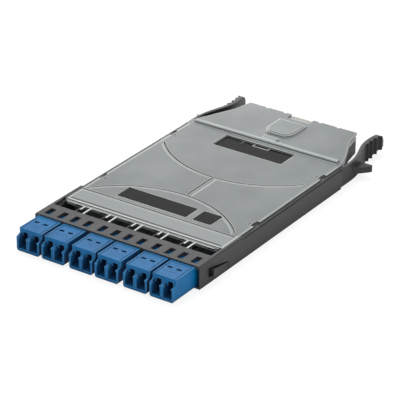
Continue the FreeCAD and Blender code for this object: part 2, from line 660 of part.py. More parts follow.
def add_skirt(cover):
    """A skirt round the narrowed rear, waisted under the plate, with a lip at its foot."""
    add(cover, "XY", SKIRT_FOOT, COVER_BOTTOM + " + 0.2", skirt_outline("skirt_inset"))
    add(cover, "XY", SKIRT_FOOT, SKIRT_FOOT + " + skirt_lip", skirt_outline("0"))
    hollow = skirt_outline("skirt_thickness")
    hollow[0] = (hollow[0][0], "RAIL_END - 1")
    hollow[-1] = (hollow[-1][0], "RAIL_END - 1")
    cut(cover, "XY", SKIRT_FOOT + " - 1", COVER_BOTTOM, hollow)


def cut_rear_edge(cover):
    half = "mpo_width / 2 + notch_clearance"
    cut(cover, "XY", "0", "cover_height + 2",
        rectangle("-(%s)" % half, half, "NOTCH_FRONT", "body_length + 1"))
    nicks = [rectangle("edge_nick_pitch * (%d) - edge_nick_width / 2" % place,
                       "edge_nick_pitch * (%d) + edge_nick_width / 2" % place,
                       "body_length - 0.9", "body_length + 1") for place in (-2, -1, 1, 2)]
    cut(cover, "XY", "cover_height - 0.6", "cover_height + 1", *nicks)


def make_cover():
    cover = new_body("cover")
    side = [("%s - cover_corner * 1.2" % COVER_EDGE, "cover_front"),
            (COVER_EDGE, "cover_front + cover_corner")]
    add(cover, "XY", COVER_BOTTOM, "cover_height", mirrored_outline(side + narrowed_side("0")))
    add_skirt(cover)
    lines = ["cover_front + front_rim + front_line_pitch * (%d)" % step for step in (0, 1)]
    cut(cover, "XY", "cover_height - front_line_depth", "cover_height + 1",
        *[rectangle("-(%s)" % HALF, HALF, line, line + " + front_line_width") for line in lines])
    add_cover_teeth(cover)
    cut(cover, "XY", COVER_BOTTOM + " + window_pane", "cover_height + 1",
        rectangle("-window_half_width", "window_half_width", "WINDOW_FRONT", "WINDOW_REAR"))
    cut_cover_lines(cover)
    sink_fields(cover)
    cut_side_snaps(cover)
    add_bead(cover)
    add_window_clip(cover)
    add_hood(cover)
    cut_rear_edge(cover)
    return finish(cover, "cover")


def adapter_side_outline():
    return [("-adapter_front", "adapter_bottom"),
            ("-adapter_front", "port_top"),
            ("-adapter_lip", "port_top + 1.1"),
            ("-adapter_lip", "adapter_top"),
            ("-adapter_gap", "adapter_top"),
            ("-adapter_gap", "adapter_top - adapter_step"),
            ("adapter_rear", "adapter_top - adapter_step"),
            ("adapter_rear", "adapter_bottom")]


def cut_ports(body):
    """Front and rear sockets with the latch slot over each and the step before the lip."""
    web_front = "-web_position - web_thickness / 2"
    web_rear = "-web_position + web_thickness / 2"
    sockets, slots, heads = [], [], []
    for offset in PORT_OFFSETS:
        sockets.append(rectangle("%s - port_width / 2" % offset, "%s + port_width / 2" % offset,
                                 "port_bottom", "port_top"))
        slots.append(rectangle("%s - latch_slot_width / 2" % offset,
                               "%s + latch_slot_width / 2" % offset,
                               "port_top - 0.5", "latch_slot_top"))
        heads.append(rectangle("%s - port_width / 2" % offset, "%s + port_width / 2" % offset,
                               "port_top - 1", "adapter_top + 1"))
    cut(body, "XZ", "-adapter_front - 1", web_front, *sockets)
    cut(body, "XZ", web_rear, "adapter_rear + 1", *sockets)
    cut(body, "XZ", "-adapter_lip - 1", "-adapter_lip + 6", *slots)
    cut(body, "XZ", "adapter_rear - 6", "adapter_rear + 1", *slots)
    cut(body, "XZ", "-adapter_front - 1", "-adapter_lip", *heads)


def add_caps(body):
    """The T-shaped head of the rib between the front ports and the ledges beside them."""
    outer = "port_pitch / 2 + port_width / 2"
    cap = rectangle("-divider_cap_width / 2", "divider_cap_width / 2",
                    "port_top - divider_cap_height", "port_top")
    ledges = [rectangle("-(%s + 0.2)" % outer, "-(%s - wall_cap_width)" % outer,
                        "port_top - divider_cap_height", "port_top"),
              rectangle("%s - wall_cap_width" % outer, "%s + 0.2" % outer,
                        "port_top - divider_cap_height", "port_top")]
    for loop in [cap] + ledges:
        add(body, "XZ", "-adapter_front", "-adapter_lip + 0.5", loop)


def add_barrels(body):
    low = "-web_position - barrel_length / 2"
    high = "-web_position + barrel_length / 2"
    add(body, "XZ", low, high,
        circles=[(offset, PORT_AXIS, "barrel_diameter / 2") for offset in PORT_OFFSETS])
    cut(body, "XZ", low + " - 1", high + " + 1",
        circles=[(offset, PORT_AXIS, "sleeve_diameter / 2 + sleeve_clearance")
                 for offset in PORT_OFFSETS])


def cut_adapter_deck(body):
    """Grooves round the deck panel, a faint cross line and two small pockets."""
    side = "(adapter_width / 2 - deck_margin)"
    outer = "(adapter_width / 2 - deck_margin + deck_groove)"
    front = "-adapter_lip - 1"
    back = "-deck_groove * 2 - deck_rim"
    floor = "adapter_top - deck_groove * 0.6"
    grooves = [rectangle("-" + outer, "-" + side, front, back),
               rectangle(side, outer, front, back)]
    cut(body, "XY", floor, "adapter_top + 1", *grooves)
    cut(body, "XY", floor, "adapter_top + 1",
        rectangle("-" + outer, outer, back, back + " + deck_groove"))
    cross = rectangle("-%s + 0.8" % side, "%s - 0.8" % side, "-adapter_lip * 0.68",
                      "-adapter_lip * 0.68 + deck_groove * 0.6")
    pockets = []
    for side_sign in (-1, 1):
        middle = "deck_pocket_pitch / 2 * (%d) - deck_pocket_shift" % side_sign
        pockets.append(rectangle("%s - deck_pocket_width / 2" % middle,
                                 "%s + deck_pocket_width / 2" % middle,
                                 "-deck_pocket_front", "-deck_pocket_rear"))
    cut(body, "XY", "adapter_top - 0.15", "adapter_top + 1", cross)
    cut(body, "XY", "adapter_top - 0.7", "adapter_top + 1", *pockets)


def round_lower_corners(body):
    """Takes the two lower edges off along the adapter's length."""
    half = "adapter_width / 2"
    for side in ("-", ""):
        edge = "%s(%s)" % (side, half)
        outside = "%s(%s + 1)" % (side, half)
        inside = "%s(%s - adapter_corner)" % (side, half)
        loop = [(inside, "adapter_bottom"), (edge, "adapter_bottom", "adapter_corner * 0.98"),
                (edge, "adapter_bottom + adapter_corner"),
                (outside, "adapter_bottom + adapter_corner"),
                (outside, "adapter_bottom - 1"), (inside, "adapter_bottom - 1")]
        cut(body, "XZ", "-adapter_front - 1", "-0.3", loop)


def make_adapter(name, centre):
    body = new_body(name)
    add(body, "YZ", "-adapter_width / 2", "adapter_width / 2", adapter_side_outline())
    cut_ports(body)
    add_caps(body)
    add_barrels(body)
    cut_adapter_deck(body)
    round_lower_corners(body)
    body.setExpression("Placement.Base.x", bound(centre))
    return finish(body, name)


def add_primitive(kind, sizes, place):
    """A plain solid whose sizes and corner or axis foot follow the sheet."""
    item = doc.addObject("Part::" + kind, kind)
    for prop, formula in sizes.items():
        item.setExpression(prop, bound(formula))
    for axis, formula in zip("xyz", place):
        item.setExpression("Placement.Base." + axis, bound(formula))
    if kind in ("Cylinder", "Cone"):
        item.Placement.Rotation = FreeCAD.Rotation(Vector(1, 0, 0), -90)
    return item


def make_sleeve(name, x):
    """A split sleeve: a thin tube along Y with one slit through its wall."""
    start = "-web_position - sleeve_length / 2"
    tube = add_primitive("Cylinder", {"Radius": "sleeve_diameter / 2",
                                      "Height": "sleeve_length"}, (x, start, PORT_AXIS))
    bore = add_primitive("Cylinder", {"Radius": "sleeve_bore / 2",
                                      "Height": "sleeve_length + 2"},
                         (x, start + " - 1", PORT_AXIS))
    slit = add_primitive("Box", {"Length": "sleeve_slit", "Width": "sleeve_length + 2",
                                 "Height": "sleeve_diameter"},
                         ("%s - sleeve_slit / 2" % x, start + " - 1", PORT_AXIS))
    tools = doc.addObject("Part::MultiFuse", "SleeveTools")
    tools.Shapes = [bore, slit]
    sleeve = doc.addObject("Part::Cut", name)
    sleeve.Base = tube
    sleeve.Tool = tools
    return finish(sleeve, name)


CONNECTOR_FRONT = "-web_position + barrel_length / 2 + connector_gap"


def make_connector(name, x):
    """A rear LC plug: a square body, a collar and a tapered boot."""
    half = "connector_width / 2"
    rear = "(%s + connector_length)" % CONNECTOR_FRONT
    block = add_primitive("Box", {"Length": "connector_width", "Width": "connector_length",
                                  "Height": "connector_width"},
                          ("%s - %s" % (x, half), CONNECTOR_FRONT, "%s - %s" % (PORT_AXIS, half)))
    boot = add_primitive("Cone", {"Radius1": "boot_diameter / 2",
                                  "Radius2": "boot_tip_diameter / 2",
                                  "Height": "boot_length + 0.2"},
                         (x, rear + " - 0.2", PORT_AXIS))
    plug = doc.addObject("Part::Fuse", name)
    plug.Base = block
    plug.Tool = boot
    return finish(plug, name)


def rounded_route(points):
    """Straight runs joined by tangent arcs, each as large as its two runs allow."""
    edges, start, radii = [], points[0], []
    for before, corner, after in zip(points, points[1:], points[2:]):
        back = (before - corner).normalize()
        ahead = (after - corner).normalize()
        turn = math.pi - back.getAngle(ahead)
        reach = 0.45 * min((corner - before).Length, (after - corner).Length)
        radii.append(reach / math.tan(turn / 2))
        bisector = (back + ahead).normalize()
        middle = corner + bisector * (radii[-1] / math.cos(turn / 2) - radii[-1])
        entry = corner + back * reach
        leave = corner + ahead * reach
        edges.append(Part.LineSegment(start, entry).toShape())
        edges.append(Part.Arc(entry, middle, leave).toShape())
        start = leave
    edges.append(Part.LineSegment(start, points[-1]).toShape())
    return Part.Wire(edges), radii


def make_tube(name, points, diameter):
    """A round tube along a route, checked against its section times its length."""
    route, radii = rounded_route(points)
    heading = (points[1] - points[0]).normalize()
    section = Part.Wire(Part.makeCircle(diameter / 2, points[0], heading))
    tube = doc.addObject("Part::Feature", name)
    tube.Shape = route.makePipeShell([section], True, True)
    expected = math.pi * diameter ** 2 / 4 * route.Length
    if abs(tube.Shape.Volume / expected - 1) > 0.02:
        raise RuntimeError(name + " has an odd volume")
    if radii:
        print(name, "bend radii", [round(radius, 1) for radius in radii])
    return finish(tube, name)


def make_leg(number, x):
    """One fibre tube from a plug's boot to its place in the fan-out block."""
    start = value(CONNECTOR_FRONT + " + connector_length + boot_length")
    axis = value(PORT_AXIS)
    end = value("fan_out_front")
    row = number - 6.5
    entry_x = row * value("leg_spacing")
    entry_z = axis + (0.7 if number % 2 else -0.7)
    points = [Vector(value(x), start, axis), Vector(value(x), start + 14, axis),
              Vector(entry_x, end - 14, entry_z), Vector(entry_x, end, entry_z)]
    return make_tube("fibre_leg_%d" % number, points, value("leg_diameter"))


def make_fan_out():
    block = new_body("fan_out_block")
    half = "fan_out_width / 2"
    rear = "fan_out_front + fan_out_length"
    outline = [("-(%s)" % half, "fan_out_front"), (half, "fan_out_front"),
               (half, rear + " - 4"), ("3", rear), ("-3", rear), ("-(%s)" % half, rear + " - 4")]
    low = PORT_AXIS + " - fan_out_thickness / 2"
    add(block, "XY", low, PORT_AXIS + " + fan_out_thickness / 2", outline)
    cut(block, "XZ", rear + " - 0.2", rear + " + 1", circles=[("0", PORT_AXIS, "0.6")])
    add(block, "XY", "floor_thickness", low + " + 0.1",
        rectangle("-4", "4", "fan_out_front + 1", rear + " - 3"))
    return finish(block, "fan_out_block")


MPO_AXIS = "(mpo_top + mpo_bottom) / 2"
PLUG_FRONT = "MPO_FRONT - mpo_plug_length"


def make_trunk():
    """The ribbon tube from the fan-out block to the rear connector's boot."""
    start = Vector(0, value("fan_out_front + fan_out_length"), value(PORT_AXIS))
    end = Vector(0, value(PLUG_FRONT + " - mpo_boot_length"), value(MPO_AXIS))
    step = Vector(0, (end.y - start.y) / 3, 0)
    return make_tube("ribbon_trunk", [start, start + step, end - step, end],
                     value("trunk_diameter"))


def make_mpo_plug():
    """The rear connector: a rounded body and a flat tapered boot toward the tray."""
    plug = new_body("mpo_connector")
    half = "mpo_plug_width / 2"
    low = MPO_AXIS + " - mpo_plug_height / 2"
    high = MPO_AXIS + " + mpo_plug_height / 2"
    body_loop = [("-(%s)" % half, low, "1.2"), (half, low, "1.2"),
                 (half, high, "1.2"), ("-(%s)" % half, high, "1.2")]
    add(plug, "XZ", PLUG_FRONT, "MPO_FRONT", body_loop)
    boot = [("-(%s - 1.6)" % half, PLUG_FRONT + " + 0.2"), ("%s - 1.6" % half,
            PLUG_FRONT + " + 0.2"), ("2.2", PLUG_FRONT + " - mpo_boot_length"),
            ("-2.2", PLUG_FRONT + " - mpo_boot_length")]
    add(plug, "XY", MPO_AXIS + " - 2.2", MPO_AXIS + " + 2.2", boot)
    return finish(plug, "mpo_connector")


def make_mpo_adapter():
    """The rear adapter: a block through the rear wall with a flange inside it."""
    adapter = new_body("mpo_adapter")
    half = "mpo_width / 2"
    add(adapter, "XZ", "MPO_FRONT", "MPO_REAR",
        rectangle("-(%s)" % half, half, "mpo_bottom", "mpo_top"))
    wide = "mpo_width / 2 + 2.4"
    inside = "body_length - rear_wall - 0.1"
    add(adapter, "XZ", inside + " - mpo_flange", inside,
        rectangle("-(%s)" % wide, wide, "floor_thickness", COVER_BOTTOM + " - 0.1"))
    port = "mpo_port_width / 2"
    low = MPO_AXIS + " - mpo_port_height / 2"
    cut(adapter, "XZ", "MPO_REAR - 8.4", "MPO_REAR + 1",
        rectangle("-(%s)" % port, port, low, low + " + mpo_port_height"))
    key = rectangle("-1.4", "1.4", low + " + mpo_port_height - 0.5",
                    low + " + mpo_port_height + 0.7")
    cut(adapter, "XZ", "MPO_REAR - 5", "MPO_REAR + 1", key)
    return finish(adapter, "mpo_adapter")


ARM_FACE = "overall_width / 2 - arm_inset"
ARM_ROOT = "RAIL_END + arm_gap"
GRIP_FACE = "overall_width / 2 - arm_grip_inset"
END_FACE = "overall_width / 2 - arm_end_inset"


def arm_outline():
    """Plan of the right arm: thin at its root, bent inward, turned out at the grip."""
    inner_bend = "%s - (arm_root_thickness + arm_thickness) / 2" % ARM_FACE
    return [(ARM_FACE, ARM_ROOT),
            (ARM_FACE, "ARM_BEND", "arm_bend_radius"),
            (GRIP_FACE, "ARM_GRIP", "arm_grip_radius"),
            (END_FACE, "ARM_END"),
            (END_FACE + " - arm_thickness", "ARM_END"),
            (GRIP_FACE + " - arm_thickness * 1.03", "ARM_GRIP", "arm_grip_radius"),
            (inner_bend, "ARM_BEND - 0.3", "arm_bend_radius * 0.8"),
            ("%s - arm_root_thickness" % ARM_FACE, ARM_ROOT)]


def grip_slope_x(distance):
    """Outer face of the grip, a little in from the groove feet, by distance from the rib start."""
    return "%s + 0.45 - 0.08 * (%s) + 0.0125 * (%s) ^ 2" % (GRIP_FACE, distance, distance)


def rib_loops():
    """Four saw-tooth ribs, each steep toward the front."""
    loops = []
    for rib in range(4):
        foot = "rib_pitch * %d" % rib
        heel = "rib_pitch * %d + rib_pitch * 0.92" % rib
        crest = "rib_pitch * %d + rib_pitch * 0.22" % rib
        loops.append([(grip_slope_x(foot) + " - 0.9", "RIB_START + " + foot),
                      (grip_slope_x(foot), "RIB_START + " + foot),
                      (grip_slope_x(crest) + " + rib_depth", "RIB_START + " + crest),
                      (grip_slope_x(heel), "RIB_START + " + heel),
                      (grip_slope_x(heel) + " - 0.9", "RIB_START + " + heel)])
    return loops


def trim_arm_tip(arm):
    """Rounds the free end as seen from the side."""
    upper = [("ARM_END - arm_tip_radius", "arm_top + 1"), ("ARM_END + 3", "arm_top + 1"),
             ("ARM_END + 3", "arm_top - arm_tip_radius"),
             ("ARM_END", "arm_top - arm_tip_radius"),
             ("ARM_END", "arm_top", "arm_tip_radius * 0.98"),
             ("ARM_END - arm_tip_radius", "arm_top")]
    lower = [("ARM_END - arm_heel_length", "arm_bottom - 1"),
             ("ARM_END + 3", "arm_bottom - 1"),
             ("ARM_END + 3", "arm_bottom + arm_heel_rise"),
             ("ARM_END", "arm_bottom + arm_heel_rise"),
             ("ARM_END - arm_heel_length", "arm_bottom")]
    for loop in (upper, lower):
        cut(arm, "YZ", "0", "%s + 5" % HALF, loop)


def make_right_arm():
    arm = new_body("right_release_arm")
    add(arm, "XY", "arm_bottom", "arm_top", arm_outline())
    add(arm, "XY", "arm_bottom", "arm_top", *rib_loops())
    trim_arm_tip(arm)
    lug = [("%s - 0.6" % ARM_FACE, "LUG_FRONT - 0.5"), (ARM_FACE, "LUG_FRONT"),
           ("%s + lug_reach" % HALF, "LUG_REAR - 1.0", "0.7"),
           ("%s + lug_reach" % HALF, "LUG_REAR"),
           ("%s - 2.4" % ARM_FACE, "LUG_REAR")]
    add(arm, "XY", "lug_bottom", "lug_top", lug)
    return finish(arm, "right_release_arm")


def make_right_latch():
    """The front latch tongue, sprung outward from its root."""
    latch = new_body("right_front_latch")
    root = "latch_root - arm_gap"
    tip_x = "%s + latch_spring_out" % HALF
    plan = [(HALF, root), (tip_x, "latch_tip"), ("%s - latch_thickness" % tip_x, "latch_tip"),
            ("%s - latch_thickness" % HALF, root)]
    add(latch, "XY", "0", "bezel_height", plan)
    low_front, low_root, high_root, high_front = slanted_outline("latch_tip - 1", "0", "0")
    above = [high_front, high_root, ("latch_root", "bezel_height + 1"),
             ("latch_tip - 1", "bezel_height + 1")]
    below = [("latch_tip - 1", "-1"), ("latch_root", "-1"), low_root, low_front]
    cut(latch, "YZ", "0", "%s + 5" % HALF, above)
    cut(latch, "YZ", "0", "%s + 5" % HALF, below)
    return finish(latch, "right_front_latch")


def make_mirrored(source, name):
    """The left-hand copy of a right-hand piece."""
    copy = doc.addObject("Part::Mirroring", name)
    copy.Source = source
    copy.Normal = Vector(1, 0, 0)
    return finish(copy, name)


def make_ports():
    """Adapters with the sleeves, plugs and fibre tubes that belong to them."""
    for index, centre in enumerate(adapter_centres()):
        make_adapter("lc_adapter_%d" % (index + 1), centre)
        for side, offset in enumerate(PORT_OFFSETS):
            number = 2 * index + side + 1
            x = "%s + %s" % (centre, offset)
            make_sleeve("split_sleeve_%d" % number, x)
            make_connector("lc_connector_%d" % number, x)
            make_leg(number, x)


def check_model():
    """Stops if a piece failed, or if a cut removed nothing."""
    for item in doc.Objects:
        if "Invalid" in item.State or "Error" in item.State:
            raise RuntimeError("%s failed: %s" % (item.Label, item.State))
    for piece in subparts:
        if piece.Shape.isNull() or not piece.Shape.isValid():
            raise RuntimeError(piece.Label + " has no sound shape")
        volume = 0.0
        for feature in getattr(piece, "Group", []):
            if not hasattr(feature, "AddSubShape"):
                continue
            if feature.TypeId in ("PartDesign::Pocket", "PartDesign::Groove"):
                if feature.Shape.Volume >= volume:
                    raise RuntimeError("%s: %s cuts nothing" % (piece.Label, feature.Name))
            volume = feature.Shape.Volume


def export_pieces():
    os.makedirs("parts", exist_ok=True)
    for piece in subparts:
        piece.Shape.exportStep("parts/%s.step" % piece.Label)
        box = piece.Shape.BoundBox
        print("%-20s solids %d  x %7.2f %7.2f  y %7.2f %7.2f  z %6.2f %6.2f" % (
            piece.Label, len(piece.Shape.Solids), box.XMin, box.XMax, box.YMin, box.YMax,
            box.ZMin, box.ZMax))


fill_sheet()
make_tray()
make_cover()
make_ports()
make_fan_out()
make_trunk()
make_mpo_plug()
make_mpo_adapter()
right_arm = make_right_arm()
make_mirrored(right_arm, "left_release_arm")
right_latch = make_right_latch()
make_mirrored(right_latch, "left_front_latch")
doc.recompute()
check_model()
export_pieces()
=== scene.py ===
import math

import bpy
from mathutils import Matrix, Vector


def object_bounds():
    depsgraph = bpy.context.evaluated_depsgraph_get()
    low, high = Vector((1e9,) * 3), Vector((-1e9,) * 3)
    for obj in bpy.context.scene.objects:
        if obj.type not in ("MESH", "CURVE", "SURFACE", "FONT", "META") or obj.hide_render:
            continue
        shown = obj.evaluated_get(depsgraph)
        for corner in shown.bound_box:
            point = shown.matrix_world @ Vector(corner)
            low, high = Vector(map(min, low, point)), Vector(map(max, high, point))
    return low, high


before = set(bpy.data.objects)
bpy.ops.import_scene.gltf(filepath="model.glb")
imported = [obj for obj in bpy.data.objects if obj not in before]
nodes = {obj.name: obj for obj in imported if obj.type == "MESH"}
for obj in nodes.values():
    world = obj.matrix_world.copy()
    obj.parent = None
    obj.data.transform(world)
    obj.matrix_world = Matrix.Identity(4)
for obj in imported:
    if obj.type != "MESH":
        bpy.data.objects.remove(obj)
cad_low, cad_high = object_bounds()

# Sizes on the cassette are written in millimetres, and Blender works in metres
MM = 0.001


# Small helpers for materials

def linear(hex_colour):
    """Turns an sRGB hex colour into the linear colour that Blender's sockets take."""
    channels = []
    for start in (1, 3, 5):
        share = int(hex_colour[start:start + 2], 16) / 255
        channels.append(share / 12.92 if share <= 0.04045 else ((share + 0.055) / 1.055) ** 2.4)
    return (*channels, 1.0)


def add_node(tree, kind, settings=None, links=None):
    """Adds one shader node. A setting is a property of the node, or else the value of one
    of its sockets, and a link names the socket that it comes in by."""
    node = tree.nodes.new("ShaderNode" + kind)
    for name, value in (settings or {}).items():
        if isinstance(name, str) and hasattr(node, name):
            setattr(node, name, value)
        else:
            node.inputs[name].default_value = value
    for name, socket in (links or {}).items():
        tree.links.new(socket, node.inputs[name])
    return node


def set_stops(ramp, *stops):
    """Gives a colour ramp its stops, each as a position and a hex colour."""
    for element, (position, colour) in zip(ramp.color_ramp.elements, stops):
        element.position = position
        element.color = linear(colour)


def start_material(name):
    """An empty node material and its tree."""
    material = bpy.data.materials.new(name)
    material.use_nodes = True
    material.node_tree.nodes.clear()
    return material, material.node_tree


def dress(names, material):
    """Gives a material to CAD nodes by name."""
    for name in names:
        mesh = nodes[name].data
        mesh.materials.clear()
        mesh.materials.append(material)


def numbered(stem, count):
    """Names of the CAD nodes that share a stem and are counted from 1."""
    return [stem + str(number) for number in range(1, count + 1)]


# Masks: sockets that are 1 in an area and fade to 0 across its border

# How far a mask fades on either side of its border, in millimetres
CRISP = 0.05
SOFT = 0.12
HAZY = 0.5


def join_masks(tree, operation, masks):
    """One mask from several: MULTIPLY keeps where all are 1, MAXIMUM where any is."""
    joined = masks[0]
    for mask in masks[1:]:
        joined = add_node(tree, "Math", {"operation": operation}, {0: joined, 1: mask}).outputs[0]
    return joined


def band_mask(tree, value, band, fade_mm):
    """Where a length lies within a band given in millimetres."""
    low, high = band
    offset = add_node(tree, "Math", {"operation": "SUBTRACT", 1: (low + high) / 2 * MM},
                      {0: value})
    distance = add_node(tree, "Math", {"operation": "ABSOLUTE"}, {0: offset.outputs[0]})
    half = (high - low) / 2 * MM
    return add_node(tree, "MapRange", {"From Min": half + fade_mm * MM,
                                       "From Max": half - fade_mm * MM},
                    {"Value": distance.outputs[0]}).outputs["Result"]


def box_mask(tree, place, sides, rows, heights, fade_mm=CRISP):
    """A box, given by its bands along X, Y and Z."""
    split = add_node(tree, "SeparateXYZ", links={"Vector": place})
    bands = [band_mask(tree, split.outputs[axis], band, fade_mm)
             for axis, band in zip("XYZ", (sides, rows, heights))]
    return join_masks(tree, "MULTIPLY", bands)


def ring_mask(tree, place, centre_row, radii, fade_mm):
    """A ring about the upright line that crosses the cover's middle at a row."""
    apart = add_node(tree, "VectorMath", {"operation": "SUBTRACT", 1: (0, centre_row * MM, 0)},
                     {0: place})
    flat = add_node(tree, "VectorMath", {"operation": "MULTIPLY", 1: (1, 1, 0)},
                    {0: apart.outputs["Vector"]})
    reach = add_node(tree, "VectorMath", {"operation": "LENGTH"}, {0: flat.outputs["Vector"]})
    return band_mask(tree, reach.outputs["Value"], radii, fade_mm)


# An edge starts where a rounded normal leans about 6 degrees from the face's own, and is
# full at about 22 degrees. Both are written as cosines
EDGE_STARTS = 0.995
EDGE_IS_FULL = 0.93


def edge_mask(tree, width_mm, strength):
    """Strength along edges and 0 elsewhere."""
    face = add_node(tree, "NewGeometry").outputs["Normal"]
    rounded = add_node(tree, "Bevel", {"samples": 8, "Radius": width_mm * MM})
    likeness = add_node(tree, "VectorMath", {"operation": "DOT_PRODUCT"},
                        {0: rounded.outputs["Normal"], 1: face})
    return add_node(tree, "MapRange", {"From Min": EDGE_STARTS, "From Max": EDGE_IS_FULL,
                                       "To Max": strength},
                    {"Value": likeness.outputs["Value"]}).outputs["Result"]


# Moulded plastics: each has a rounded edge of its own, a grain left by the mould and a slow
# drift of tone, which is what tells moulded plastic from paint. A real mould's grain is a
# few hundredths of a millimetre, too fine to show, so it is drawn 0.4 to 0.8 mm wide
MOTTLE_MM = 14.0
MOTTLE_STOPS = (0.35, 0.65)
GRAIN_STRENGTH = 0.5
# How strongly the painted highlight along edges is laid over the tone
EDGE_HIGHLIGHT_STRENGTH = 0.8

# Where the drift of tone is dark the gloss is a little higher, and lower where it is light
GLOSS_STOPS = (0.3, 0.7)
GLOSS_DRIFT = (-0.05, 0.07)

# Painted shade darkens the adapters' ports with depth: how far off a wall is felt, the shares
# of open surroundings between which the shade fades, and the rows where it ends before the bezel
PORT_REACH_MM = 6.0
PORT_SHARES = (0.3, 0.75)
PORT_END_ROWS = (-1.5, -1.0)


def shade_ports(tree, place, colour, shade):
    """Paints shade into a colour inside the hollows that lie ahead of the bezel."""
    hollow = add_node(tree, "AmbientOcclusion", {"samples": 8, "Distance": PORT_REACH_MM * MM})
    openness = add_node(tree, "MapRange", {"From Min": PORT_SHARES[0],
                                           "From Max": PORT_SHARES[1]},
                        {"Value": hollow.outputs["AO"]})
    split = add_node(tree, "SeparateXYZ", links={"Vector": place})
    behind = add_node(tree, "MapRange", {"From Min": PORT_END_ROWS[0] * MM,
                                         "From Max": PORT_END_ROWS[1] * MM},
                      {"Value": split.outputs["Y"]})
    plain = join_masks(tree, "MAXIMUM", [openness.outputs["Result"], behind.outputs["Result"]])
    return add_node(tree, "Mix", {"data_type": "RGBA", 6: linear(shade)},
                    {0: plain, 7: colour}).outputs[2]


def moulded_plastic(name, dark, light, grain_mm, grain_depth_mm, edge_mm, roughness,
                    shine=0.5, edge_highlight=None, edge_highlight_mm=0.35, port_shade=None):
    """A plastic that drifts between two tones. Edge highlight is the colour of the painted
    highlight along its edges.
    """
    material, tree = start_material(name)
    place = add_node(tree, "TexCoord").outputs["Object"]
    drift = add_node(tree, "TexNoise", {"Scale": 1 / (MOTTLE_MM * MM), "Detail": 4.0,
                                        "Roughness": 0.6}, {"Vector": place})
    grain = add_node(tree, "TexNoise", {"Scale": 1 / (grain_mm * MM), "Detail": 2.0},
                     {"Vector": place})
    tone = add_node(tree, "ValToRGB", links={"Fac": drift.outputs["Fac"]})
    set_stops(tone, (MOTTLE_STOPS[0], dark), (MOTTLE_STOPS[1], light))
    edge = add_node(tree, "Bevel", {"samples": 6, "Radius": edge_mm * MM})
    colour = tone.outputs["Color"]
    if edge_highlight:
        colour = add_node(tree, "Mix", {"data_type": "RGBA", 7: linear(edge_highlight)},
                          {0: edge_mask(tree, edge_highlight_mm, EDGE_HIGHLIGHT_STRENGTH), 6: colour}).outputs[2]
    if port_shade:
        colour = shade_ports(tree, place, colour, port_shade)
    gloss = add_node(tree, "MapRange", {"From Min": GLOSS_STOPS[0],
                                        "From Max": GLOSS_STOPS[1],
                                        "To Min": roughness + GLOSS_DRIFT[0],
                                        "To Max": roughness + GLOSS_DRIFT[1]},
                     {"Value": drift.outputs["Fac"]})
    bump = add_node(tree, "Bump", {"Strength": GRAIN_STRENGTH, "Distance": grain_depth_mm * MM},
                    {"Height": grain.outputs["Fac"], "Normal": edge.outputs["Normal"]})
    shader = add_node(tree, "BsdfPrincipled", {"IOR": 1.5, "Specular IOR Level": shine},
                      {"Base Color": colour,
                       "Roughness": gloss.outputs["Result"],
                       "Normal": bump.outputs["Normal"]})
    add_node(tree, "OutputMaterial", links={"Surface": shader.outputs["BSDF"]})
    return material


# The cover's painted light and shade, polish and clear face, in millimetres: sides run along X
# from the middle, rows along Y from the bezel's front face, and heights along Z, each band about
# one moulded level
PLATE_TOP = 11.2
ON_PLATE = (PLATE_TOP - 0.1, PLATE_TOP + 0.1)
IN_GROOVES = (PLATE_TOP - 0.58, PLATE_TOP - 0.1)
IN_FIELDS = (PLATE_TOP - 0.7, PLATE_TOP - 0.1)
IN_WINDOW = (PLATE_TOP - 1.7, PLATE_TOP - 0.75)
AT_FEET = (PLATE_TOP + 0.03, PLATE_TOP + 0.45)
ON_BEAD = (PLATE_TOP + 0.5, PLATE_TOP + 1.2)
ON_HOOD = (PLATE_TOP + 0.7, PLATE_TOP + 1.8)
ON_FRONT_FACE = (PLATE_TOP - 1.7, PLATE_TOP - 0.1)
ON_FRONT_RIM = (PLATE_TOP - 0.1, PLATE_TOP + 0.2)

ALL_SIDES = (-46.0, 46.0)
ALL_ROWS = (10.0, 160.0)
FRONT_FACE = (ALL_SIDES, (11.0, 17.85), ON_FRONT_FACE)
# The front rim is painted white, as a highlight, together with the edges
FRONT_RIM = (ALL_SIDES, (11.0, 18.25), ON_FRONT_RIM)

# Polished: the long field and the square field near the front, and the rear window's pane
FIELD_ROWS = (35.3, 45.6)
POLISHED_AREAS = (((-25.4, 13.5), FIELD_ROWS, IN_FIELDS),
                  ((16.9, 27.2), FIELD_ROWS, IN_FIELDS),
                  ((-19.7, 19.7), (106.1, 119.0), IN_WINDOW))
